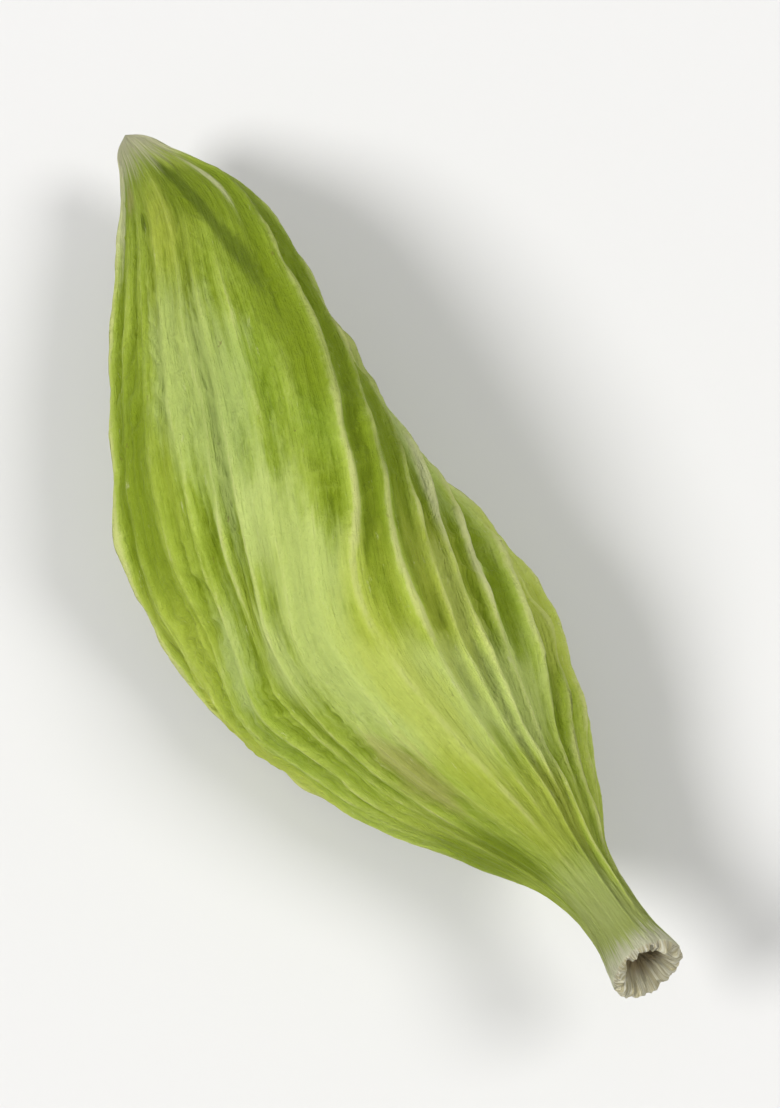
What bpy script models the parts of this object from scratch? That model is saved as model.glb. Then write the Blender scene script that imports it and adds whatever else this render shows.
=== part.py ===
"""Green cardamom pod: one dried, three-sided seed capsule that lies on one of its three faces.

The pod is lofted along X, from its dry tip at -X to the cut end of its stalk at +X. A section is a rounded
triangle, turned a little further at each step, so that the arrises between the faces wind along the pod.
Ribs run from end to end, and each column of the mesh follows one of them, so crests and valleys stay crisp.
"""

import bmesh
import bpy
import numpy as np
from mathutils import Matrix, Vector, noise

# Driving dimensions, in metres.
LENGTH = 0.0170  # from the tip to the cut end of the stalk
FULL_RADIUS = 0.00261  # mean radius of the fullest section
PRESSED_FLAT = 0.00034  # how far the resting face is pressed in, which leaves the small flat spot
DISH_DEPTH = 0.00035  # hollow in the stalk's cut end

# Shares of the length, from 0 at the tip to 1 at the cut end, each with a value there.
# Radius as a share of the fullest: a blunt tip, a full middle, a neck, and a flared stalk end.
RADIUS_STATIONS = (
    (0.000, 0.000), (0.010, 0.080), (0.040, 0.185), (0.119, 0.410), (0.231, 0.645), (0.357, 0.845),
    (0.476, 0.945), (0.600, 0.955), (0.743, 0.665), (0.811, 0.475), (0.880, 0.275), (0.925, 0.215),
    (0.965, 0.205), (1.000, 0.235),
)
# Sideways bow of the middle line, in shares of the full radius.
SIDE_STATIONS = (
    (0.000, 0.00), (0.119, 0.03), (0.231, -0.17), (0.357, -0.32), (0.476, -0.31), (0.600, -0.27),
    (0.743, -0.14), (0.850, 0.00), (0.925, 0.05), (1.000, 0.06),
)
# Height of the middle line over its height halfway, in shares of the full radius.
RISE_STATIONS = (
    (0.000, -0.10), (0.119, -0.02), (0.300, 0.03), (0.500, 0.00), (0.700, 0.03), (0.850, 0.14),
    (0.925, 0.24), (1.000, 0.34),
)
# Turn of the section about X, in degrees: the top arris leans to +Y near the tip.
TWIST_STATIONS = (
    (0.000, -44.0), (0.119, -42.0), (0.231, -40.0), (0.357, -33.0), (0.476, -13.0), (0.600, 7.0),
    (0.743, 14.0), (1.000, 14.0),
)

# The section.
FACES = 3
TRIANGLE = 0.130  # how far the arrises stand out, as a share of the radius
ARRIS_SHARPNESS = 0.026  # narrows the arrises and keeps the faces crowned
ROUND_TO_THREE_SIDED = (0.15, 0.45)  # shares of the full radius between which a section gains its sides
FLATTENED = 0.94  # height of a section against its width
SEAM_DEPTH = 0.024  # groove down the middle of each face, as a share of the radius
SEAM_WIDTH = 9.0  # degrees

# The ribs. Numbers 0, 8 and 16 run along the arrises, and each face has those between two of them.
RIBS = 24
RIB_HEIGHT = 0.00017  # from a valley to the crest beside it, at the fullest section
FACE_RIBBING = (1.05, 0.80, 0.45)  # shares of that height, on the +Y face, the underside and the -Y face
ARRIS_RIBBING = 1.15  # the same share on the arrises
RIB_UNLIKENESS = 0.35  # how far one rib's height differs from the next, as a share of it
RIB_UNEVENNESS = 0.35  # how far a rib's height changes along it, as a share of it
RIB_SWELLS = 7.0  # changes of a rib's height over the length
RIB_JITTER = 0.17  # share of the spacing by which a rib strays
RIB_WANDER = 2.6  # degrees by which the ribs wander along the pod
WANDER_WAVES = 1.9  # wanderings over the length
RIB_TAPER = 0.8  # the power of the radius by which the ribs get lower towards the ends
FINE_RIBS_RISE = (0.22, 0.62)  # shares of the full radius between which every other rib appears
RIMWARD_FADE = (0.88, 1.0)  # shares of the length between which the ribs die out on the stalk
LEFT_AT_RIM = 0.3  # share of their height that they keep there

# The mesh.
COLUMNS_PER_RIB = 4
RING_COUNT = 50
END_CROWDING = 0.55  # 0 spaces the rings evenly, 1 crowds them most at the ends

# The seeds inside push the wall out, and drying has dented it. The ends are spared.
BUMP_HEIGHT, BUMP_SIZE = 0.00006, 0.0016
DENT_HEIGHT, DENT_SIZE = 0.00011, 0.0045
LUMPY_OVER = 0.4  # share of the full radius from which the lumps have their whole height

# The cut end of the stalk.
CUT_SLANT = -0.38  # run along X for each unit of height: the cut faces up a little
SLANT_FROM = 0.90  # share of the length where the slant begins
DISH_RINGS = ((0.80, -0.02), (0.56, 0.45), (0.30, 0.90))  # share of the end's radius, share of the depth

SEED = 11
RIB_LANE = 3.7  # keeps the noise of one rib clear of the next rib's
OFF_LATTICE = 0.5  # the noise is 0 at whole numbers, so this reads it between them
SKIN_COLOUR = (0.33, 0.43, 0.09, 1.0)
SKIN_ROUGHNESS = 0.62


def smooth_curve(stations, places):
    """A smooth curve through the stations, read at each of the places."""
    at, value = np.array(stations).T
    slope = np.gradient(value, at)
    i = np.clip(np.searchsorted(at, places) - 1, 0, len(at) - 2)
    span = at[i + 1] - at[i]
    t = (places - at[i]) / span
    rise = t * t * (3 - 2 * t)
    leaving = t * (1 - t) ** 2 * slope[i] - t * t * (1 - t) * slope[i + 1]
    return value[i] * (1 - rise) + value[i + 1] * rise + span * leaving


def noise_at(points, size):
    """Smooth noise from about -1 to 1, whose lumps are about as large as size."""
    flat = points.reshape(-1, 3) / size
    return 2 * np.array([noise.noise(Vector(p)) for p in flat]).reshape(points.shape[:-1])


def step_between(low, high, value):
    """0 under low, 1 over high, and smooth between them."""
    t = np.clip((value - low) / (high - low), 0, 1)
    return t * t * (3 - 2 * t)


def ring_places():
    """Places of the rings along the pod, closer together towards the ends."""
    even = np.linspace(0, 1, RING_COUNT)
    crowded = (1 - np.cos(np.pi * even)) / 2
    return even + END_CROWDING * (crowded - even)


def rib_layout():
    """Each rib's angle from the top arris, in radians, and its height, in shares of RIB_HEIGHT."""
    draw = np.random.default_rng(SEED)
    stray = draw.uniform(-RIB_JITTER, RIB_JITTER, RIBS)
    height = np.repeat(FACE_RIBBING, RIBS // FACES)
    height *= 1 + draw.uniform(-RIB_UNLIKENESS, RIB_UNLIKENESS, RIBS)
    on_arris = np.arange(RIBS) % (RIBS // FACES) == 0
    stray[on_arris] = 0
    height[on_arris] = ARRIS_RIBBING
    return 2 * np.pi * (np.arange(RIBS) + stray) / RIBS, height


def column_angles(column, place):
    """Angle of each column from the top arris. The columns wander with the ribs that they follow."""
    centres, _ = rib_layout()
    lap = np.append(centres, 2 * np.pi)
    angle = np.interp(column, np.arange(RIBS + 1), lap)
    lane = np.stack([np.cos(angle), np.sin(angle), place * WANDER_WAVES], axis=-1)
    return angle + np.radians(RIB_WANDER) * noise_at(lane, 1.0)


def rib_relief(column, place, radius_share):
    """Height of the ribs over the valleys, in metres."""
    _, heights = rib_layout()
    nearest = np.round(column).astype(int) % RIBS
    lane = np.stack([nearest * RIB_LANE, place * RIB_SWELLS, np.full(place.shape, OFF_LATTICE)], axis=-1)
    height = RIB_HEIGHT * heights[nearest] * (1 + RIB_UNEVENNESS * noise_at(lane, 1.0))
    height *= radius_share**RIB_TAPER
    height *= np.where(nearest % 2 == 1, step_between(*FINE_RIBS_RISE, radius_share), 1)
    height *= 1 - (1 - LEFT_AT_RIM) * step_between(*RIMWARD_FADE, place)
    crest = (1 + np.cos(2 * np.pi * column)) / 2
    return height * crest


def section_share(angle, radius_share):
    """Radius of the rounded triangle at each angle from its top arris, as a share of the mean radius."""
    three_sided = step_between(*ROUND_TO_THREE_SIDED, radius_share)
    lobes = TRIANGLE * np.cos(FACES * angle) + ARRIS_SHARPNESS * np.cos(2 * FACES * angle)
    from_seam = np.degrees((angle % (2 * np.pi / FACES)) - np.pi / FACES)
    seam = SEAM_DEPTH * np.exp(-((from_seam / SEAM_WIDTH) ** 2))
    return 1 + three_sided * (lobes - seam)


def wall_points(column, place):
    """Points of the pod's wall, for columns and places of the same shape."""
    share = smooth_curve(RADIUS_STATIONS, place)
    angle = column_angles(column, place)
    turned = np.pi / 2 - angle + np.radians(smooth_curve(TWIST_STATIONS, place))
    radius = FULL_RADIUS * share * section_share(angle, share)
    across, up = np.cos(turned), np.sin(turned)
    x = (place - 0.5) * LENGTH
    rough = np.stack([x, radius * across, radius * up], axis=-1)
    lumps = BUMP_HEIGHT * noise_at(rough, BUMP_SIZE) + DENT_HEIGHT * noise_at(rough, DENT_SIZE)
    radius = radius + lumps * step_between(0, LUMPY_OVER, share) + rib_relief(column, place, share)
    y = FULL_RADIUS * smooth_curve(SIDE_STATIONS, place) + radius * across
    z = FULL_RADIUS * smooth_curve(RISE_STATIONS, place) + radius * up * FLATTENED
    slant = CUT_SLANT * step_between(SLANT_FROM, 1, place) * radius * up
    return np.stack([x + slant, y, z], axis=-1)


def stalk_end_points(rim):
    """Rings that step in from the rim of the cut end and down into its hollow, and the middle point."""
    middle = rim.mean(axis=0)
    rings = []
    for share, depth in DISH_RINGS:
        ring = middle + (rim - middle) * share
        ring[:, 0] -= depth * DISH_DEPTH
        rings.append(ring)
    return rings, middle - np.array([DISH_DEPTH, 0, 0])


def join_rings(bm, rings):
    """Faces between each ring of vertices and the next."""
    for ring, following in zip(rings, rings[1:]):
        for i in range(len(ring)):
            j = (i + 1) % len(ring)
            bm.faces.new((ring[i], ring[j], following[j], following[i]))


def close_ring(bm, ring, apex):
    """A fan of faces from a ring to a single vertex."""
    for i in range(len(ring)):
        bm.faces.new((ring[i], ring[(i + 1) % len(ring)], apex))


def pod_mesh():
    columns = np.arange(RIBS * COLUMNS_PER_RIB) / COLUMNS_PER_RIB
    places = ring_places()[1:]
    column, place = np.meshgrid(columns, places)
    wall = list(wall_points(column, place))
    dish, middle = stalk_end_points(wall[-1])
    tip = wall_points(np.zeros(1), np.zeros(1))[0]
    bm = bmesh.new()
    rings = [[bm.verts.new(p) for p in ring] for ring in wall + dish]
    join_rings(bm, rings)
    close_ring(bm, rings[0], bm.verts.new(tip))
    close_ring(bm, rings[-1], bm.verts.new(middle))
    bmesh.ops.recalc_face_normals(bm, faces=bm.faces)
    mesh = bpy.data.meshes.new("pod")
    bm.to_mesh(mesh)
    bm.free()
    return mesh


def press_flat(mesh):
    """Presses the lowest part of the wall into the flat spot that the pod rests on."""
    spot = min(v.co.z for v in mesh.vertices) + PRESSED_FLAT
    for v in mesh.vertices:
        v.co.z = max(v.co.z, spot)


def stand_on_origin(mesh):
    """Moves the mesh so that the middle of its footprint, at its lowest level, is the origin."""
    corners = np.array([v.co for v in mesh.vertices])
    low, high = corners.min(axis=0), corners.max(axis=0)
    middle = (low + high) / 2
    mesh.transform(Matrix.Translation((-middle[0], -middle[1], -low[2])))


def skin_material():
    material = bpy.data.materials.new("pod_skin")
    material.use_nodes = True
    shader = material.node_tree.nodes["Principled BSDF"]
    shader.inputs["Base Color"].default_value = SKIN_COLOUR
    shader.inputs["Roughness"].default_value = SKIN_ROUGHNESS
    shader.inputs["Metallic"].default_value = 0.0
    return material


def main():
    for thing in list(bpy.data.objects):
        bpy.data.objects.remove(thing)
    mesh = pod_mesh()
    press_flat(mesh)
    stand_on_origin(mesh)
    mesh.shade_smooth()
    mesh.materials.append(skin_material())
    pod = bpy.data.objects.new("pod", mesh)
    bpy.context.scene.collection.objects.link(pod)


main()
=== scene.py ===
"""Looks of the green cardamom pod: its fine skin, and the floor, light and camera that show it."""

import math

import bpy
import numpy as np
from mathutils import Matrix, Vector, noise


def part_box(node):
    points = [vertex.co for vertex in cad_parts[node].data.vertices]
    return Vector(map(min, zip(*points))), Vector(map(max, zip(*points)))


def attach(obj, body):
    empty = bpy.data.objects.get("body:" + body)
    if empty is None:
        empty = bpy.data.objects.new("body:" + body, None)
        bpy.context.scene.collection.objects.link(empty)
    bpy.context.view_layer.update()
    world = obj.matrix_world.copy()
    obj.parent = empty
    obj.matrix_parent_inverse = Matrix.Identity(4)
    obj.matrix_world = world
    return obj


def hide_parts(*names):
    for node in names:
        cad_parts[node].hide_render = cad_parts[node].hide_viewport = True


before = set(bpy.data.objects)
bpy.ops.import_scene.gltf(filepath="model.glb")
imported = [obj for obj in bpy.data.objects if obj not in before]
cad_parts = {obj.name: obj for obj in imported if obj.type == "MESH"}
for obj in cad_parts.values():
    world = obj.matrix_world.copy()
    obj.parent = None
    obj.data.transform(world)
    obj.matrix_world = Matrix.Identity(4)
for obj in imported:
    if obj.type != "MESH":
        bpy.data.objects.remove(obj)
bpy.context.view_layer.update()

# The pod's form, in metres. These are the values of the solid that the fine skin replaces.
LENGTH = 0.0170
FULL_RADIUS = 0.00261
DISH_DEPTH = 0.00035  # of the hollow in the stalk's cut end

# Shares of the length, from 0 at the tip to 1 at the stalk's cut end, each with a value there.
# The radius, the shift to the side and the rise are shares of FULL_RADIUS, and the twist is in degrees.
RADIUS_STATIONS = (
    (0.000, 0.000), (0.010, 0.080), (0.040, 0.185), (0.119, 0.410), (0.231, 0.645), (0.357, 0.845),
    (0.476, 0.945), (0.600, 0.955), (0.743, 0.665), (0.811, 0.475), (0.880, 0.275), (0.925, 0.215),
    (0.965, 0.205), (1.000, 0.235),
)
SIDE_STATIONS = (
    (0.000, 0.00), (0.119, 0.03), (0.231, -0.17), (0.357, -0.32), (0.476, -0.31), (0.600, -0.27),
    (0.743, -0.14), (0.850, 0.00), (0.925, 0.05), (1.000, 0.06),
)
RISE_STATIONS = (
    (0.000, -0.10), (0.119, -0.02), (0.300, 0.03), (0.500, 0.00), (0.700, 0.03), (0.850, 0.14),
    (0.925, 0.24), (1.000, 0.34),
)
TWIST_STATIONS = (
    (0.000, -44.0), (0.119, -42.0), (0.231, -40.0), (0.357, -33.0), (0.476, -13.0), (0.600, 7.0),
    (0.743, 14.0), (1.000, 14.0),
)
FACES = 3
TRIANGLE = 0.130  # share of the radius by which the arrises stand out and the faces lie in
ARRIS_SHARPNESS = 0.026
ROUND_TO_THREE_SIDED = (0.15, 0.45)  # shares of FULL_RADIUS between which the round ends turn three-sided
FLATTENED = 0.94  # height as a share of the width
SEAM_DEPTH = 0.024  # share of the radius
SEAM_WIDTH = 9.0  # in degrees, from the middle of a face

# The ribs, numbered from the top arris. The broad face that the camera sees has numbers 16 to 24.
RIBS = 24
RIB_HEIGHT = 0.00017
FACE_RIBBING = (1.05, 0.80, 0.45)  # shares of RIB_HEIGHT on each face
ARRIS_RIBBING = 1.15
RIB_UNLIKENESS = 0.35  # most share by which a rib's height differs from its face's
RIB_UNEVENNESS = 0.35  # share by which a rib's height changes along it
RIB_SWELLS = 7.0  # how often it changes over the length
RIB_JITTER = 0.17  # most share of the spacing by which a rib is out of place
RIB_WANDER = 2.6  # degrees by which a rib wanders along the pod
WANDER_WAVES = 1.9  # how often it does so over the length
RIB_TAPER = 0.8  # power of the radius by which the ribs get lower towards the ends
FINE_RIBS_RISE = (0.22, 0.62)  # shares of FULL_RADIUS between which every second rib rises
RIMWARD_FADE = (0.88, 1.0)  # shares of the length between which the ribs get lower towards the rim
LEFT_AT_RIM = 0.3  # share of their height that is left there
BUMP_HEIGHT, BUMP_SIZE = 0.00006, 0.0016
DENT_HEIGHT, DENT_SIZE = 0.00011, 0.0045
LUMPY_OVER = 0.4  # share of FULL_RADIUS over which bumps and dents are whole
CUT_SLANT = -0.38  # slope of the cut end
SLANT_FROM = 0.90  # share of the length from which the rings lean over to that slope
SEED = 11
RIB_LANE = 3.7  # step through the noise from one rib to the next
OFF_LATTICE = 0.5  # keeps off whole numbers, where the noise is always 0

# The fine mesh.
COLUMNS_PER_RIB = 12
RING_COUNT = 322
END_CROWDING = 0.55  # 0 spaces the rings evenly, and 1 crowds them most at both ends
LIP_RING_COUNT = 20
APEX_COUNT = 2  # the tip and the middle of the hollow, which come last in the list of points

# Relief that only the fine skin has, in metres.
CREST_NARROWING = 1.8  # power by which the crests are narrower than the valleys
VEIN_SHARE = 0.30  # share of a rib's height that is in the thin vein on it
VEIN_NARROWING = 13.0
KNOT_SHARE, KNOTS = 0.34, 26.0  # how far a rib's height changes over its knots, and knots over the length
CREST_WEAVE, WEAVES = 0.10, 11.0  # share of the spacing by which a crest weaves, and weaves over the length
RIDGE_NARROWING = 3  # power by which the ridges of fibres and wrinkles are narrow
RIDGE_MEAN = 0.4  # taken off those ridges, so that they add no girth
FIBRES = ((0.000036, 0.00023, 0.0030), (0.000024, 0.00012, 0.0013))  # height, width and length of each size
FULL_FINENESS = 1.4  # the fine relief is whole where the radius is 1 / 1.4 of the fullest, and less below
WRINKLE_HEIGHT = 0.000095  # creases that cross the valleys at a slant
WRINKLE_WIDTH, WRINKLE_LENGTH = 0.00080, 0.00034  # their size round the pod and along it
WRINKLE_LEAN, LEANS = 1.1, 5.0  # most of their slant, as a slope, and how often it changes over the length
SMOOTH_SIZE = 0.0016  # size of the parts with and without them
WRINKLED_BETWEEN = (-0.80, 0.30)  # values of that noise between which they rise
WRINKLE_TINT = 0.35  # share of their height that pales the skin
GRAIN_HEIGHT, GRAIN_SIZE = 0.000006, 0.00013
SEED_SWELL = 0.00005  # bulge of the wall over each seed
SEED_PITCH, SEED_SPREAD = 0.0024, 0.0008
SEEDS_IN_ROW = 5
FIRST_SEED = 0.18  # share of the length
SEED_ROW_OFFSET = 1.7  # ribs from the middle of a face to each of its two rows of seeds
CREASE_DEPTH = 0.00005  # the crease that runs from the tip towards the arris, which painted shade darkens
CREASE_STATIONS = (  # shares of the length, each with the crease's rib number there
    (0.030, 21.2), (0.060, 21.4), (0.110, 21.8), (0.150, 22.3), (0.190, 22.8), (0.240, 23.2), (0.300, 23.4),
    (0.380, 23.45),
)
CREASE_WIDTH = 0.34  # its spread in ribs
CREASE_RISE, CREASE_FALL = (0.020, 0.080), (0.170, 0.330)  # shares of the length where it starts and ends
PROUD_HEIGHT = RIB_HEIGHT / 2  # height over the skin around that counts as 1
PROUD_OVER = (4, COLUMNS_PER_RIB // 2)  # rings and columns, each way, of the skin around

# The lip of the cut end.
LIP_STATIONS = (  # step from the rim to the hollow's middle, share of the rim's radius, and of DISH_DEPTH
    (0.00, 1.00, 0.00), (0.12, 0.97, -0.14), (0.26, 0.86, -0.20), (0.38, 0.74, -0.10), (0.50, 0.63, 0.20),
    (0.66, 0.48, 0.60), (0.82, 0.28, 0.86), (1.00, 0.05, 1.00),
)
LIP_RAGGEDNESS = 0.10  # share of the end's radius by which its rings stray
LIP_LUMPS = 3.0  # radius, in the noise's own units, of the ring that the raggedness is read along
LIP_DEPTH_LUMPS = 4.0  # how far that ring moves through the noise on its way into the hollow
LIP_RAGGED_RISE = 4.0  # the raggedness in depth is whole from a quarter of the way on
FRAY = 0.00007  # how far the cut fibres stick out or fall short
FRAYS = 6.5  # radius, in the noise's own units, of the ring that the fray is read along

# Marks on the skin, some partly painted shade and light, each with patches: rib number, share of the length,
# and the patch's spreads in both.
MARKS = {
    # Olive patches, partly painted shade: along the right and left edges of the faces that the camera sees,
    # and in the groove near the tip.
    "olive_and_edge_shade": (
        (23.7, 0.26, 0.9, 0.08), (23.6, 0.14, 1.00, 0.06), (4.5, 0.36, 2.2, 0.15), (11.0, 0.20, 1.6, 0.10),
        (1.5, 0.42, 0.32, 0.12), (2.5, 0.52, 0.28, 0.10), (0.6, 0.50, 0.30, 0.12), (14.5, 0.68, 1.4, 0.08),
        (0.6, 0.30, 0.9, 0.09), (21.2, 0.10, 0.9, 0.04), (24.0, 0.24, 0.8, 0.07), (5.9, 0.72, 0.8, 0.07),
        (17.3, 0.34, 0.9, 0.14), (18.4, 0.82, 1.4, 0.05), (21.2, 0.84, 1.2, 0.05), (1.3, 0.42, 0.9, 0.06),
        (3.5, 0.58, 0.26, 0.09), (4.5, 0.62, 0.26, 0.08), (1.5, 0.62, 0.20, 0.08), (22.5, 0.11, 0.7, 0.03),
    ),
    "bloom": (
        (20.8, 0.34, 1.4, 0.14), (18.6, 0.55, 0.7, 0.05), (19.0, 0.26, 0.8, 0.08), (3.5, 0.44, 1.1, 0.08),
        (9.5, 0.55, 1.6, 0.14), (13.5, 0.32, 1.5, 0.12),
    ),
    # Pale patches, partly painted light: a bright band down the broad face, and a lighter flank and stalk
    # end where the lamps reach them less.
    "pale_and_painted_light": (
        (21.7, 0.46, 1.0, 0.05), (22.8, 0.54, 0.8, 0.05), (10.8, 0.42, 1.6, 0.12), (6.2, 0.52, 1.2, 0.12),
        (0.0, 0.92, 3.5, 0.05), (3.4, 0.73, 1.7, 0.07), (22.6, 0.62, 0.9, 0.08),
        (0.5, 0.70, 0.6, 0.08), (20.8, 0.57, 0.7, 0.05), (23.4, 0.69, 0.8, 0.05), (2.6, 0.60, 0.6, 0.05),
        (1.8, 0.69, 0.9, 0.04),
    ),
    # Yellowed patches, partly painted light: the yellow-green bounce light in the flank's shade.
    "yellowed_and_bounce_light": (
        (23.9, 0.70, 0.8, 0.14), (19.6, 0.13, 0.7, 0.05), (6.5, 0.60, 1.2, 0.13), (12.0, 0.46, 2.0, 0.20),
        (16.5, 0.62, 1.0, 0.10), (2.3, 0.60, 1.3, 0.09), (2.2, 0.83, 2.8, 0.05),
    ),
    "tanned": (
        (22.0, 0.74, 0.9, 0.05), (17.4, 0.075, 0.5, 0.018), (10.5, 0.70, 1.3, 0.06), (5.0, 0.25, 0.5, 0.05),
        (14.2, 0.50, 0.5, 0.10),
    ),
    # Painted shade in the crease near the tip, which pod_mesh adds to this mark; the patch here is a small
    # dark spot beside it.
    "crease_shade": ((18.3, 0.11, 0.11, 0.01),),
    # Whitish streaks, partly painted highlights: the pale line along the edge by the tip and the lines on
    # the flank's crests.
    "whitish_and_painted_highlight": (
        (23.3, 0.10, 0.22, 0.05), (3.0, 0.49, 0.16, 0.07), (4.0, 0.57, 0.16, 0.06), (16.3, 0.07, 0.4, 0.06),
        (8.0, 0.30, 0.4, 0.14),
    ),
}
CREASE_MARK = "crease_shade"  # the mark of painted shade that the crease adds to

# The map of the skin, which unrolls the pod, and the skin's own coordinates.
WALL_IN_MAP, LIP_IN_MAP = 0.93, 0.07  # shares of the map's height
FIRST_QUARTER, LAST_QUARTER = 0.25, 0.75
MILLIMETRES_A_METRE = 1000


def smooth_curve(stations, places):
    """A smooth curve through the stations, read at each of the places."""
    at, value = np.array(stations).T
    slope = np.gradient(value, at)
    i = np.clip(np.searchsorted(at, places) - 1, 0, len(at) - 2)
    span = at[i + 1] - at[i]
    t = (places - at[i]) / span
    rise = t * t * (3 - 2 * t)
    leaving = t * (1 - t) ** 2 * slope[i] - t * t * (1 - t) * slope[i + 1]
    return value[i] * (1 - rise) + value[i + 1] * rise + span * leaving


def noise_at(points, size=1.0):
    """Smooth noise from about -1 to 1, whose lumps are about as large as size."""
    flat = points.reshape(-1, 3) / size
    return 2 * np.array([noise.noise(Vector(p)) for p in flat]).reshape(points.shape[:-1])


def step_between(low, high, value):
    """0 under low, 1 over high, and smooth between them."""
    t = np.clip((value - low) / (high - low), 0, 1)
    return t * t * (3 - 2 * t)


def ring_places():
    """Shares of the length where the wall has rings, closer together at both ends."""
    even = np.linspace(0, 1, RING_COUNT)
    crowded = (1 - np.cos(np.pi * even)) / 2
    return even + END_CROWDING * (crowded - even)


def rib_layout():
    """The angle of each rib round the pod, and its height as a share of RIB_HEIGHT."""
    draw = np.random.default_rng(SEED)
    stray = draw.uniform(-RIB_JITTER, RIB_JITTER, RIBS)
    height = np.repeat(FACE_RIBBING, RIBS // FACES)
    height *= 1 + draw.uniform(-RIB_UNLIKENESS, RIB_UNLIKENESS, RIBS)
    on_arris = np.arange(RIBS) % (RIBS // FACES) == 0
    stray[on_arris] = 0
    height[on_arris] = ARRIS_RIBBING
    return 2 * np.pi * (np.arange(RIBS) + stray) / RIBS, height


def column_angles(column, place):
    """The angle at which each column, counted in ribs, lies in the section at each place."""
    centres, _ = rib_layout()
    lap = np.append(centres, 2 * np.pi)
    angle = np.interp(column, np.arange(RIBS + 1), lap)
    lane = np.stack([np.cos(angle), np.sin(angle), place * WANDER_WAVES], axis=-1)
    return angle + np.radians(RIB_WANDER) * noise_at(lane)


def rib_lane(rib, place, waves):
    """Where to read a rib's own noise, which has this many waves over the length."""
    return np.stack([rib * RIB_LANE, place * waves, np.full(place.shape, OFF_LATTICE)], axis=-1)


def rib_relief(column, place, radius_share):
    """Height of the ribs, in metres, and how much of a vein is at each point, from 0 to about 1."""
    _, heights = rib_layout()
    nearest = np.round(column).astype(int) % RIBS
    lane = rib_lane(nearest, place, RIB_SWELLS)
    height = RIB_HEIGHT * heights[nearest] * (1 + RIB_UNEVENNESS * noise_at(lane))
    height *= 1 + KNOT_SHARE * noise_at(lane * (1, KNOTS / RIB_SWELLS, 1))
    height *= radius_share**RIB_TAPER
    height *= np.where(nearest % 2 == 1, step_between(*FINE_RIBS_RISE, radius_share), 1)
    height *= 1 - (1 - LEFT_AT_RIM) * step_between(*RIMWARD_FADE, place)
    weave = CREST_WEAVE * noise_at(lane * (1, WEAVES / RIB_SWELLS, 1) + OFF_LATTICE)
    crest = (1 + np.cos(2 * np.pi * (column + weave))) / 2
    vein = crest**VEIN_NARROWING
    relief = height * ((1 - VEIN_SHARE) * crest**CREST_NARROWING + VEIN_SHARE * vein)
    return relief, vein * height / RIB_HEIGHT


def section_share(angle, radius_share):
    """The section's outline as a share of its mean radius: three arrises, and a seam along each face."""
    three_sided = step_between(*ROUND_TO_THREE_SIDED, radius_share)
    lobes = TRIANGLE * np.cos(FACES * angle) + ARRIS_SHARPNESS * np.cos(2 * FACES * angle)
    from_seam = np.degrees((angle % (2 * np.pi / FACES)) - np.pi / FACES)
    seam = SEAM_DEPTH * np.exp(-((from_seam / SEAM_WIDTH) ** 2))
    return 1 + three_sided * (lobes - seam)


def skin_coordinates(column, place):
    """Where a point is on the skin, in metres: two coordinates round the pod and one along it."""
    angle = 2 * np.pi * column / RIBS
    return np.stack([FULL_RADIUS * np.cos(angle), FULL_RADIUS * np.sin(angle), LENGTH * place], axis=-1)


def ridged(values):
    """Turns smooth noise into narrow ridges, whose mean is about 0."""
    return (1 - np.minimum(np.abs(values), 1)) ** RIDGE_NARROWING - RIDGE_MEAN


def column_gap(column, at):
    """Distance round the pod from one column to another, in ribs."""
    return (column - at + RIBS / 2) % RIBS - RIBS / 2


def patch(column, place, at, where, wide, long):
    """A soft patch on the skin: 1 in its middle and 0 at about twice its spreads."""
    return np.exp(-((column_gap(column, at) / wide) ** 2) - ((place - where) / long) ** 2)


def crease(column, place):
    """How far a point is in the crease: 1 along its middle and 0 away from it."""
    middle = smooth_curve(CREASE_STATIONS, np.clip(place, CREASE_STATIONS[0][0], CREASE_STATIONS[-1][0]))
    strength = step_between(*CREASE_RISE, place) * (1 - step_between(*CREASE_FALL, place))
    return strength * np.exp(-((column_gap(column, middle) / CREASE_WIDTH) ** 2))


def fibre_relief(skin):
    """Fibres that run along the husk, in metres."""
    relief = np.zeros(skin.shape[:-1])
    for height, width, length in FIBRES:
        relief += height * ridged(noise_at(skin / (width, width, length)))
    return relief


def wrinkle_relief(column, place, skin):
    """Creases that cross the valleys between the ribs at a slant, in metres."""
    valley = (1 - np.cos(2 * np.pi * column)) / 2
    which = np.floor(column)
    across = (column - which) * 2 * np.pi * FULL_RADIUS / RIBS
    along = LENGTH * place + WRINKLE_LEAN * noise_at(rib_lane(which, place, LEANS)) * across
    valley_lane = which * RIB_LANE + OFF_LATTICE
    lane = np.stack([across / WRINKLE_WIDTH, along / WRINKLE_LENGTH, valley_lane], axis=-1)
    wrinkled = step_between(*WRINKLED_BETWEEN, noise_at(skin, SMOOTH_SIZE))
    return WRINKLE_HEIGHT * ridged(noise_at(lane)) * valley * wrinkled


def crumple_relief(column, place, skin):
    """The skin's grain and the crease near the tip, in metres."""
    return GRAIN_HEIGHT * noise_at(skin, GRAIN_SIZE) - CREASE_DEPTH * crease(column, place)


def seed_swells(column, place):
    """Bulges of the wall over the two rows of seeds behind each face."""
    per_face = RIBS // FACES
    rib_spacing = 2 * np.pi * FULL_RADIUS / RIBS
    swell = np.zeros(column.shape)
    for face in range(FACES):
        for side in (-1, 1):
            row = per_face * (face + 0.5) + side * SEED_ROW_OFFSET
            stagger = SEED_PITCH / 2 if side > 0 else 0
            for i in range(SEEDS_IN_ROW):
                middle = (FIRST_SEED * LENGTH + stagger + i * SEED_PITCH) / LENGTH
                swell += patch(column, place, row, middle, SEED_SPREAD / rib_spacing, SEED_SPREAD / LENGTH)
    return SEED_SWELL * swell


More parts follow.
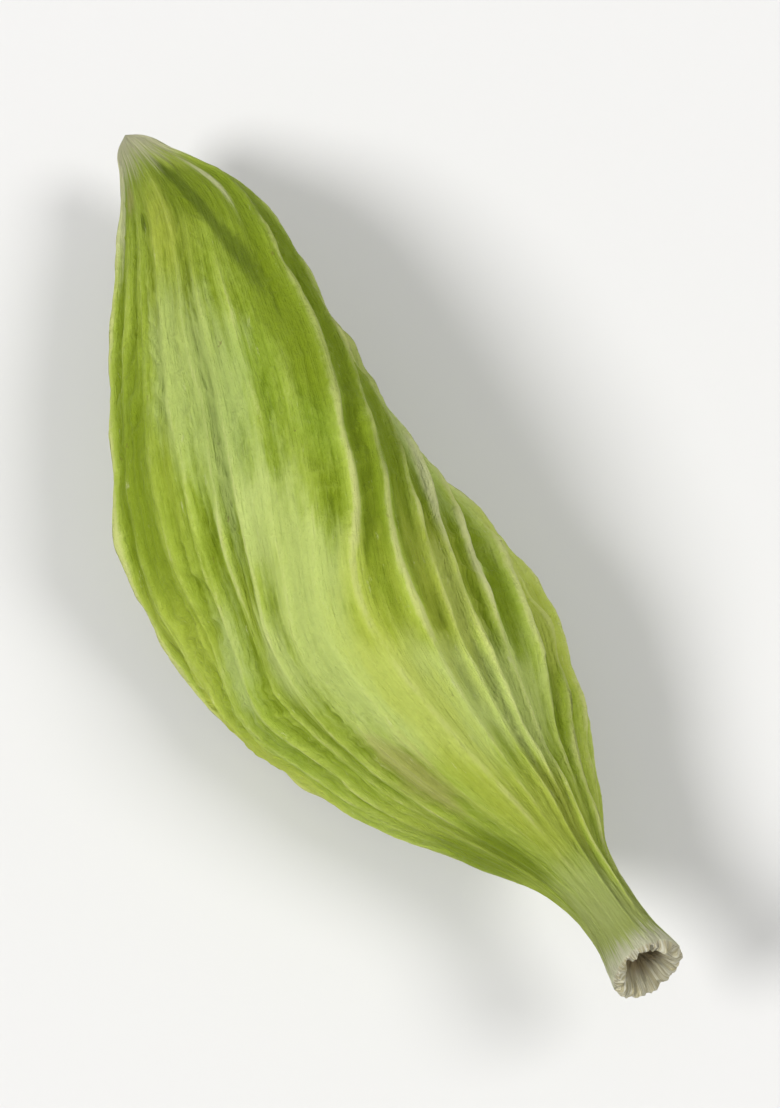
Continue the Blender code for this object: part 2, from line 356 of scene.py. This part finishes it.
def wall_points(column, place):
    """Points of the fine wall, the height of its ribs and fibres, and the share of a vein at each."""
    share = smooth_curve(RADIUS_STATIONS, place)
    angle = column_angles(column, place)
    turned = np.pi / 2 - angle + np.radians(smooth_curve(TWIST_STATIONS, place))
    radius = FULL_RADIUS * share * section_share(angle, share)
    across, up = np.cos(turned), np.sin(turned)
    x = (place - 0.5) * LENGTH
    rough = np.stack([x, radius * across, radius * up], axis=-1)
    lumps = BUMP_HEIGHT * noise_at(rough, BUMP_SIZE) + DENT_HEIGHT * noise_at(rough, DENT_SIZE)
    skin = skin_coordinates(column, place)
    fineness = np.minimum(1, FULL_FINENESS * share)
    ribs, veins = rib_relief(column, place, share)
    wrinkles = wrinkle_relief(column, place, skin) * fineness
    strands = ribs + fibre_relief(skin) * fineness
    crumples = crumple_relief(column, place, skin) * fineness + seed_swells(column, place) * share + wrinkles
    radius = radius + lumps * step_between(0, LUMPY_OVER, share) + strands + crumples
    y = FULL_RADIUS * smooth_curve(SIDE_STATIONS, place) + radius * across
    z = FULL_RADIUS * smooth_curve(RISE_STATIONS, place) + radius * up * FLATTENED
    slant = CUT_SLANT * step_between(SLANT_FROM, 1, place) * radius * up
    return np.stack([x + slant, y, z], axis=-1), strands + WRINKLE_TINT * wrinkles, veins


def lip_steps():
    """Where the lip has rings: steps from the rim, which is 0, to the middle of the hollow, which is 1."""
    return np.linspace(0, 1, LIP_RING_COUNT + 1)[1:]


def cut_end_rings(rim):
    """Rings from the rim of the cut end into its hollow, and the middle point."""
    stations = np.array(LIP_STATIONS)
    middle = rim.mean(axis=0)
    turn = 2 * np.pi * np.arange(len(rim)) / len(rim)
    finer = (FRAYS / LIP_LUMPS, FRAYS / LIP_LUMPS, 1)
    rings = []
    for step in lip_steps():
        share = smooth_curve(stations[:, [0, 1]], np.array([step]))[0]
        depth = smooth_curve(stations[:, [0, 2]], np.array([step]))[0]
        inward = np.full(len(rim), LIP_DEPTH_LUMPS * step)
        around = np.stack([LIP_LUMPS * np.cos(turn), LIP_LUMPS * np.sin(turn), inward], axis=-1)
        rough = noise_at(around) * LIP_RAGGEDNESS
        fray = FRAY * noise_at(around * finer) * math.sin(math.pi * step)
        ring = middle + (rim - middle) * (share * (1 + rough * (1 - share)))[:, None]
        ring[:, 0] -= (depth + rough * min(1, LIP_RAGGED_RISE * step)) * DISH_DEPTH + fray
        rings.append(ring)
    return rings, rings[-1].mean(axis=0)


def averaged(values, rings, columns):
    """Box average of a grid of rings by columns, which closes round the pod."""
    total = sum(np.roll(values, k, axis=1) for k in range(-columns, columns + 1)) / (2 * columns + 1)
    padded = np.pad(total, ((rings, rings), (0, 0)), mode="edge")
    count = len(values)
    return sum(padded[k : k + count] for k in range(2 * rings + 1)) / (2 * rings + 1)


def fitted(points):
    """Moves the points to where the solid lies, and presses flat what would reach under its flat spot."""
    low, high = (np.array(corner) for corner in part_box("pod"))
    points[:, :2] += (low + high)[:2] / 2 - (points.min(axis=0) + points.max(axis=0))[:2] / 2
    points[:, 2] += high[2] - points[:, 2].max()
    points[:, 2] = np.maximum(points[:, 2], low[2])
    return points


def skin_faces(rings, count):
    """Faces between the rings of this many points, and a fan to the apex point at each end."""
    first = np.arange(rings * count).reshape(rings, count)
    follow = np.roll(first, -1, axis=1)
    quads = np.stack([first[:-1], first[1:], follow[1:], follow[:-1]], axis=-1).reshape(-1, 4)
    tip_index, middle_index = rings * count, rings * count + 1
    tip_fan = np.stack([np.full(count, tip_index), first[0], follow[0]], axis=-1)
    end_fan = np.stack([np.full(count, middle_index), follow[-1], first[-1]], axis=-1)
    return quads.tolist() + tip_fan.tolist() + end_fan.tolist()


def pod_mesh():
    """The fine pod, with its skin's coordinates and marks as attributes."""
    columns = np.arange(RIBS * COLUMNS_PER_RIB) / COLUMNS_PER_RIB
    places = ring_places()[1:]
    column, place = np.meshgrid(columns, places)
    wall, strands, veins = wall_points(column, place)
    lip, middle = cut_end_rings(wall[-1])
    tip = np.array([-LENGTH / 2, FULL_RADIUS * SIDE_STATIONS[0][1], FULL_RADIUS * RISE_STATIONS[0][1]])
    points = fitted(np.concatenate([wall.reshape(-1, 3), np.array(lip).reshape(-1, 3), [tip], [middle]]))
    mesh = bpy.data.meshes.new("pod_skin")
    mesh.from_pydata(points.tolist(), [], skin_faces(len(places) + LIP_RING_COUNT, len(columns)))
    mesh.shade_smooth()

    # Along is 0 at the tip, 1 at the rim and 2 in the middle of the hollow. Around is the rib number.
    lip_along = 1 + np.repeat(lip_steps(), len(columns))
    along = np.concatenate([place.ravel(), lip_along, [0.0, 2.0]])
    around = np.concatenate([column.ravel(), np.tile(columns, LIP_RING_COUNT), [0.0, 0.0]])
    proud = (strands - averaged(strands, *PROUD_OVER)) / PROUD_HEIGHT
    beyond_wall = np.zeros(len(lip_along) + APEX_COUNT)
    give_attribute(mesh, "along", along)
    for name, patches in MARKS.items():
        mark = sum(patch(around, along, *values) for values in patches)
        if name == CREASE_MARK:
            mark += crease(around, along)
        give_attribute(mesh, name, np.minimum(mark, 1))
    give_attribute(mesh, "proud", np.concatenate([proud.ravel(), beyond_wall]))
    give_attribute(mesh, "vein", np.concatenate([veins.ravel(), beyond_wall]))
    give_skin(mesh, along, around)
    give_uv(mesh, along, around)
    return mesh


def give_attribute(mesh, name, values):
    """Gives the mesh one number a point, which the material reads by this name."""
    mesh.attributes.new(name, "FLOAT", "POINT").data.foreach_set("value", np.asarray(values, np.float32))


def give_skin(mesh, along, around):
    """Gives the mesh its coordinates on the skin, in millimetres, which the material's patterns use."""
    skin = skin_coordinates(around, np.minimum(along, 1.0)) * MILLIMETRES_A_METRE
    mesh.attributes.new("skin", "FLOAT_VECTOR", "POINT").data.foreach_set("vector", skin.ravel())


def give_uv(mesh, along, around):
    """A map that unrolls the pod: round it in U, and from the tip over the rim into the hollow in V."""
    corner_vertex = np.empty(len(mesh.loops), np.int32)
    mesh.loops.foreach_get("vertex_index", corner_vertex)
    starts = np.empty(len(mesh.polygons), np.int32)
    mesh.polygons.foreach_get("loop_start", starts)
    face_of_corner = np.repeat(np.arange(len(starts)), np.diff(np.append(starts, len(corner_vertex))))
    u = around[corner_vertex] / RIBS
    v = along[corner_vertex]
    v = np.where(v <= 1, WALL_IN_MAP * v, WALL_IN_MAP + LIP_IN_MAP * (v - 1))

    # A face that closes the lap has corners at both ends of the map, so the low ones go past its far end.
    rightmost = np.zeros(len(starts))
    np.maximum.at(rightmost, face_of_corner, u)
    u = np.where((rightmost[face_of_corner] > LAST_QUARTER) & (u < FIRST_QUARTER), u + 1, u)

    # The point at each end belongs to a whole lap of faces, and has its place in the middle of each.
    apex = corner_vertex >= len(along) - APEX_COUNT
    leftmost = np.full(len(starts), np.inf)
    np.minimum.at(leftmost, face_of_corner[~apex], u[~apex])
    u = np.where(apex, leftmost[face_of_corner] + 0.5 / (RIBS * COLUMNS_PER_RIB), u)
    layer = mesh.uv_layers.new(name="OFBake")
    layer.uv.foreach_set("vector", np.stack([u, v], axis=-1).astype(np.float32).ravel())


# Sockets of the mix node when it mixes colours.
MIX_SHARE, MIX_A, MIX_B, MIX_RESULT = 0, 6, 7, 2


class Nodes:
    """Short calls for the nodes of one material."""

    def __init__(self, name):
        self.material = bpy.data.materials.new(name)
        self.material.use_nodes = True
        self.tree = self.material.node_tree
        self.shader = self.tree.nodes["Principled BSDF"]

    def shade(self, values):
        """Sets uniform values on the shader's own sockets."""
        for name, value in values.items():
            self.shader.inputs[name].default_value = value

    def put(self, socket, value):
        """Links a node's output to the socket, or sets a plain value on it."""
        if isinstance(value, bpy.types.NodeSocket):
            self.tree.links.new(value, socket)
        else:
            socket.default_value = value

    def attribute(self, name, output="Fac"):
        """Reads one of the mesh's attributes."""
        node = self.tree.nodes.new("ShaderNodeAttribute")
        node.attribute_name = name
        return node.outputs[output]

    def scaled(self, vector, scale):
        """The vector with each coordinate times its own scale."""
        node = self.tree.nodes.new("ShaderNodeMapping")
        self.put(node.inputs["Vector"], vector)
        node.inputs["Scale"].default_value = scale
        return node.outputs["Vector"]

    def noise(self, vector, scale, detail, roughness):
        """Smooth noise, from 0 to 1."""
        node = self.tree.nodes.new("ShaderNodeTexNoise")
        self.put(node.inputs["Vector"], self.scaled(vector, scale))
        node.inputs["Scale"].default_value = 1.0
        node.inputs["Detail"].default_value = detail
        node.inputs["Roughness"].default_value = roughness
        return node.outputs["Fac"]

    def cells(self, vector, scale):
        """Distance from the middle of the nearest of many cells."""
        node = self.tree.nodes.new("ShaderNodeTexVoronoi")
        self.put(node.inputs["Vector"], self.scaled(vector, scale))
        node.inputs["Scale"].default_value = 1.0
        return node.outputs["Distance"]

    def math(self, operation, a, b, c=0.0):
        """One of the math node's operations."""
        node = self.tree.nodes.new("ShaderNodeMath")
        node.operation = operation
        for socket, value in zip(node.inputs, (a, b, c)):
            self.put(socket, value)
        return node.outputs["Value"]

    def between(self, value, low, high, out_low=0.0, out_high=1.0):
        """Goes smoothly from out_low to out_high as the value goes from low to high."""
        node = self.tree.nodes.new("ShaderNodeMapRange")
        node.interpolation_type = "SMOOTHSTEP"
        names = ("Value", "From Min", "From Max", "To Min", "To Max")
        for name, given in zip(names, (value, low, high, out_low, out_high)):
            self.put(node.inputs[name], given)
        return node.outputs["Result"]

    def balance(self, start, *terms):
        """The start, plus how far each value is over its middle times its weight."""
        for value, middle, weight in terms:
            start = self.math("MULTIPLY_ADD", self.math("SUBTRACT", value, middle), weight, start)
        return start

    def ramp(self, value, stops):
        """The colour that the value has between the stops."""
        node = self.tree.nodes.new("ShaderNodeValToRGB")
        self.put(node.inputs["Fac"], value)
        elements = node.color_ramp.elements
        while len(elements) < len(stops):
            elements.new(0.5)
        for element, (at, colour) in zip(elements, stops):
            element.position = at
            element.color = (*colour, 1.0)
        return node.outputs["Color"]

    def mix(self, share, a, b):
        """Colour a where the share is 0 and colour b where it is 1."""
        node = self.tree.nodes.new("ShaderNodeMix")
        node.data_type = "RGBA"
        for socket, value in ((MIX_SHARE, share), (MIX_A, a), (MIX_B, b)):
            self.put(node.inputs[socket], (*value, 1.0) if isinstance(value, tuple) else value)
        return node.outputs[MIX_RESULT]

    def tinted(self, colour, tint, value, low, high, most):
        """The colour, with more and more of the tint as the value goes from low to high."""
        return self.mix(self.between(value, low, high, 0.0, most), colour, tint)

    def bump(self, height, distance, strength):
        """A normal that is bent as if the surface had this height."""
        node = self.tree.nodes.new("ShaderNodeBump")
        self.put(node.inputs["Height"], height)
        node.inputs["Distance"].default_value = distance
        node.inputs["Strength"].default_value = strength
        return node.outputs["Normal"]


# Colours of the skin, linear.
DEEP_GREEN = (0.105, 0.155, 0.006)
OLIVE = (0.215, 0.300, 0.010)
GREEN = (0.350, 0.460, 0.045)
LIGHT_GREEN = (0.470, 0.585, 0.090)
CREST = (0.600, 0.660, 0.210)
FROST = (0.550, 0.670, 0.220)
PALE_GREEN = (0.620, 0.730, 0.230)
YELLOW = (0.530, 0.600, 0.080)
# Whitish colour of the scuffs, and of the painted highlights by the tip and on the flank's crests.
WHITE_STREAK_AND_HIGHLIGHT = (0.740, 0.760, 0.430)
VEIN = (0.620, 0.670, 0.240)
FRESH_GREEN = (0.255, 0.400, 0.035)
STRAW = (0.780, 0.760, 0.500)
STALK_GREEN = (0.515, 0.575, 0.205)
TAN = (0.420, 0.385, 0.125)
CREAM = (0.860, 0.835, 0.660)
BROWN = (0.150, 0.110, 0.030)
PITH = (0.380, 0.300, 0.165)
DRY_EDGE = (0.600, 0.545, 0.330)

# Patterns of the skin: lumps a millimetre round the pod, twice, and along it, then detail and roughness.
STREAKS = ((5.5, 5.5, 0.42), 4.0, 0.62)
THREADS = ((21.0, 21.0, 1.2), 3.0, 0.60)
MOTTLE = ((7.5, 7.5, 5.0), 5.0, 0.68)
DRIFT = ((0.50, 0.50, 0.24), 2.0, 0.5)
BLUR = ((2.2, 2.2, 0.9), 4.0, 0.6)
SCUFFS = ((6.5, 6.5, 2.2), 6.0, 0.72)
SPECKS = ((3.4, 3.4, 2.4), 4.0, 0.62)
CRINKLES = ((8.0, 8.0, 7.0), 6.0, 0.7)
CELLS = (10.0, 10.0, 3.4)
MIDDLE = 0.5  # of the values that a pattern has

# The skin's tone: colours from dark to pale, where the tone starts, and how much each thing moves it.
TONE_STOPS = ((0.0, DEEP_GREEN), (0.28, OLIVE), (0.52, GREEN), (0.76, LIGHT_GREEN), (1.0, CREST))
TONE_START = 0.50
PROUD_TONE, STREAK_TONE, THREAD_TONE, MOTTLE_TONE, STALK_TONE = 0.36, 0.40, 0.34, 0.42, 0.17
STALKWARD = (0.56, 0.84)  # shares of the length between which the tone gets paler: the stalk's own paler colour, and partly painted light on the narrowing neck

# Tints over the tone: the values between which each rises, and its most.
YELLOW_DRIFT = (0.52, 0.72, 0.28)
FRESH_DRIFT = (0.46, 0.28, 0.40)
VEINS_UNDER_MARKS = (0.15, 0.95, 0.50)
VEINS_OVER_MARKS = (0.25, 0.95, 0.34)
SCUFFED = (0.62, 0.74, 0.45)
SPECKLED = (0.69, 0.75, 0.55)
STRAW_TIP = (0.070, 0.010, 0.90)
STALK = (0.88, 0.96, 0.60)
STALK_END = (0.970, 1.00, 0.75)
VEIN_MOTTLE, VEIN_STREAKS = 1.2, 0.8  # how far the patterns break the veins up
MARK_TINTS = (  # in the order in which they are laid on, each with its colour and its most; several are partly painted shade and light
    ("olive_and_edge_shade", OLIVE, 0.80), ("bloom", FROST, 0.62), ("pale_and_painted_light", PALE_GREEN, 0.68),
    ("yellowed_and_bounce_light", YELLOW, 0.52), ("tanned", TAN, 0.55), ("crease_shade", DEEP_GREEN, 0.75),
    ("whitish_and_painted_highlight", WHITE_STREAK_AND_HIGHLIGHT, 0.70),
)
MARK_BLUR, MARK_STREAKS = 1.1, 0.9  # how far the patterns break the marks up
MARK_RISE, MARK_REACH = (0.12, 0.80), (0.02, 0.25)  # values of the broken mark and of the whole one
END_STREAKS, END_THREADS = 0.10, 0.04  # how far the patterns move the edges of the tints at both ends
LIP_RISE, HOLLOW_RISE = (1.0, 1.10), (1.45, 1.75)  # past the rim, which is 1, towards the middle, which is 2
DRY_EDGE_TO_CREAM = (0.42, 0.60)  # values of the mottle on the lip
HOLLOW_MOTTLE = 0.5  # how far the mottle moves the hollow's edge

# The skin's surface.
ROUGHNESS = (0.2, 0.9, 0.68, 0.48)  # two tones, and the roughness at each
HUSK_SHADING = {
    "Specular IOR Level": 0.15,
    "Subsurface Weight": 0.03,
    "Subsurface Radius": (1.0, 0.9, 0.3),
    "Subsurface Scale": 0.0002,
}
THREAD_RELIEF, CELL_RELIEF, MOTTLE_RELIEF, CRINKLE_RELIEF = 1.5, 0.35, 1.0, 1.9
RELIEF_DISTANCE, RELIEF_STRENGTH = 0.00008, 0.9


def marked(n, colour, blur, streaks):
    """The colour with the skin's marks over it, some partly painted shade and light, which the patterns
    break up.
    """
    for name, tint, most in MARK_TINTS:
        mark = n.attribute(name)
        broken = n.balance(mark, (blur, MIDDLE, MARK_BLUR), (streaks, MIDDLE, MARK_STREAKS))
        share = n.math("MULTIPLY", n.between(broken, *MARK_RISE, 0.0, most), n.between(mark, *MARK_REACH))
        colour = n.mix(share, colour, tint)
    return colour


def skin_colour(n, skin, along, proud):
    """Pale ribs and fibres over green valleys, with marks of drying and of painted shade and light, a straw
    tip and a dull stalk.
    """
    streaks = n.noise(skin, *STREAKS)
    threads = n.noise(skin, *THREADS)
    mottle = n.noise(skin, *MOTTLE)
    drift = n.noise(skin, *DRIFT)
    blur = n.noise(skin, *BLUR)

    tone = n.balance(TONE_START, (proud, 0.0, PROUD_TONE), (streaks, MIDDLE, STREAK_TONE))
    tone = n.balance(tone, (threads, MIDDLE, THREAD_TONE), (mottle, MIDDLE, MOTTLE_TONE))
    # Paler towards the stalk: its own colour, and partly painted light on the neck.
    tone = n.balance(tone, (n.between(along, *STALKWARD), 0.0, STALK_TONE))
    colour = n.ramp(tone, TONE_STOPS)
    colour = n.tinted(colour, YELLOW, drift, *YELLOW_DRIFT)
    colour = n.tinted(colour, FRESH_GREEN, drift, *FRESH_DRIFT)
    veins = n.attribute("vein")
    veins = n.balance(veins, (mottle, MIDDLE, VEIN_MOTTLE), (streaks, MIDDLE, VEIN_STREAKS))
    colour = n.tinted(colour, VEIN, veins, *VEINS_UNDER_MARKS)
    colour = marked(n, colour, blur, streaks)
    colour = n.tinted(colour, VEIN, veins, *VEINS_OVER_MARKS)
    colour = n.tinted(colour, WHITE_STREAK_AND_HIGHLIGHT, n.noise(skin, *SCUFFS), *SCUFFED)
    colour = n.tinted(colour, BROWN, n.noise(skin, *SPECKS), *SPECKLED)

    from_tip = n.balance(along, (streaks, MIDDLE, END_STREAKS), (threads, MIDDLE, END_THREADS))
    colour = n.tinted(colour, STRAW, from_tip, *STRAW_TIP)
    colour = n.tinted(colour, STALK_GREEN, from_tip, *STALK)
    colour = n.tinted(colour, CREAM, from_tip, *STALK_END)
    on_lip = n.between(along, *LIP_RISE)
    lip = n.mix(n.between(mottle, *DRY_EDGE_TO_CREAM), DRY_EDGE, CREAM)
    colour = n.mix(on_lip, colour, lip)
    in_hollow = n.between(n.balance(along, (mottle, MIDDLE, HOLLOW_MOTTLE)), *HOLLOW_RISE)
    return n.mix(in_hollow, colour, PITH), tone, threads, mottle


def skin_material():
    """Dried papery husk."""
    n = Nodes("pod_husk_skin")
    skin = n.attribute("skin", "Vector")
    colour, tone, threads, mottle = skin_colour(n, skin, n.attribute("along"), n.attribute("proud"))
    n.put(n.shader.inputs["Base Color"], colour)
    n.put(n.shader.inputs["Roughness"], n.between(tone, *ROUGHNESS))
    n.shade(HUSK_SHADING)

    cells = n.cells(skin, CELLS)
    crinkles = n.noise(skin, *CRINKLES)
    height = n.balance(0.0, (threads, MIDDLE, THREAD_RELIEF), (cells, MIDDLE, CELL_RELIEF))
    height = n.balance(height, (mottle, MIDDLE, MOTTLE_RELIEF), (crinkles, MIDDLE, CRINKLE_RELIEF))
    n.put(n.shader.inputs["Normal"], n.bump(height, RELIEF_DISTANCE, RELIEF_STRENGTH))
    return n.material


def make_pod():
    """The piece that stands for the solid."""
    pod = bpy.data.objects.new("pod_husk", pod_mesh())
    bpy.context.scene.collection.objects.link(pod)
    pod.data.materials.append(skin_material())
    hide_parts("pod")
    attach(pod, "root")
    return pod


# The floor: flat round the pod, and swept up far away so that it has no horizon.
FLOOR_RADIUS = 0.30
SWEEP_RADIUS = 0.18
FLOOR_SEGMENTS = 96
SWEEP_STEPS = 16
FLOOR_SHADING = {
    "Base Color": (0.655, 0.655, 0.660, 1.0),
    "Roughness": 0.9,
    "Specular IOR Level": 0.1,
}


def floor_mesh():
    """A disc with a rim that curves up: its middle point, and then ring by ring outwards."""
    profile = [(FLOOR_RADIUS, 0.0)]
    for i in range(1, SWEEP_STEPS + 1):
        turn = math.pi / 2 * i / SWEEP_STEPS
        profile.append((FLOOR_RADIUS + SWEEP_RADIUS * math.sin(turn), SWEEP_RADIUS * (1 - math.cos(turn))))
    points = [(0.0, 0.0, 0.0)]
    for radius, height in profile:
        for k in range(FLOOR_SEGMENTS):
            turn = 2 * math.pi * k / FLOOR_SEGMENTS
            points.append((radius * math.cos(turn), radius * math.sin(turn), height))
    faces = []
    for k in range(FLOOR_SEGMENTS):
        following = (k + 1) % FLOOR_SEGMENTS
        faces.append((0, 1 + k, 1 + following))
        for i in range(len(profile) - 1):
            inner, outer = 1 + i * FLOOR_SEGMENTS, 1 + (i + 1) * FLOOR_SEGMENTS
            faces.append((inner + k, outer + k, outer + following, inner + following))
    mesh = bpy.data.meshes.new("floor")
    mesh.from_pydata(points, [], faces)
    mesh.shade_smooth()
    return mesh


def make_floor():
    """The pale paper under the pod, which is there for the pictures only."""
    n = Nodes("floor_paper")
    n.shade(FLOOR_SHADING)
    floor = bpy.data.objects.new("floor", floor_mesh())
    floor.data.materials.append(n.material)
    bpy.context.scene.collection.objects.link(floor)


# The camera looks down on the pod, at the angle from which the photograph shows it.
CAMERA_AZIMUTH, CAMERA_ELEVATION = 60.5, 72.0
LENS = 180.0
SENSOR = 36.0
HEIGHT_FILLED = 0.78  # share of the picture's height that the pod takes
CLIP_RANGE = 100  # how many times nearer and farther than the pod a thing in view may be

# The light. A lamp has its azimuth from the camera's, elevation, distance, size, watts and colour.
LAMPS = {
    "key": (-68, 48, 1.1, 0.42, 10.2, (1.0, 0.99, 0.97)),
    "fill": (95, 54, 1.1, 0.50, 6.0, (1.0, 0.99, 0.95)),
}
WORLD_COLOUR = (1.0, 1.0, 1.0, 1.0)
WORLD_STRENGTH = 0.37


def direction(azimuth, elevation):
    """Unit vector from the pod towards a camera or a lamp at this azimuth and elevation, in degrees."""
    a, e = math.radians(azimuth), math.radians(elevation)
    return Vector((math.sin(a) * math.cos(e), -math.cos(a) * math.cos(e), math.sin(e)))


def make_lamp(name, azimuth, elevation, distance, size, watts, colour):
    """A round soft lamp that points at the pod."""
    light = bpy.data.lights.new(name, "AREA")
    light.shape = "DISK"
    light.size = size
    light.energy = watts
    light.color = colour
    lamp = bpy.data.objects.new(name, light)
    lamp.location = direction(azimuth, elevation) * distance
    lamp.rotation_euler = (-direction(azimuth, elevation)).to_track_quat("-Z", "Y").to_euler()
    bpy.context.scene.collection.objects.link(lamp)


def make_world():
    """White surroundings that light the shadows a little."""
    world = bpy.data.worlds.new("studio")
    world.use_nodes = True
    background = world.node_tree.nodes["Background"]
    background.inputs["Color"].default_value = WORLD_COLOUR
    background.inputs["Strength"].default_value = WORLD_STRENGTH
    bpy.context.scene.world = world


def make_camera(pod):
    """A camera with the pod in the middle of its picture."""
    data = bpy.data.cameras.new("camera")
    data.lens = LENS
    data.sensor_width = SENSOR
    camera = bpy.data.objects.new("camera", data)
    bpy.context.scene.collection.objects.link(camera)
    bpy.context.scene.camera = camera
    back = direction(CAMERA_AZIMUTH, CAMERA_ELEVATION)
    turn = (-back).to_track_quat("-Z", "Y")
    points = np.array([v.co for v in pod.data.vertices])
    right, up = (np.array(turn @ Vector(axis)) for axis in ((1, 0, 0), (0, 1, 0)))
    middle = np.zeros(3)
    for axis in (right, up, np.array(back)):
        reach = points @ axis
        middle += axis * (reach.min() + reach.max()) / 2
    tall = np.ptp(points @ up)
    distance = tall / HEIGHT_FILLED * LENS / SENSOR
    camera.location = Vector(middle) + back * distance
    camera.rotation_mode = "QUATERNION"
    camera.rotation_quaternion = turn
    data.clip_start = distance / CLIP_RANGE
    data.clip_end = distance * CLIP_RANGE


pod = make_pod()
make_floor()
make_world()
for lamp_name, (azimuth_from_camera, *lamp_values) in LAMPS.items():
    make_lamp(lamp_name, CAMERA_AZIMUTH + azimuth_from_camera, *lamp_values)
make_camera(pod)
bpy.context.scene.view_settings.view_transform = "Standard"
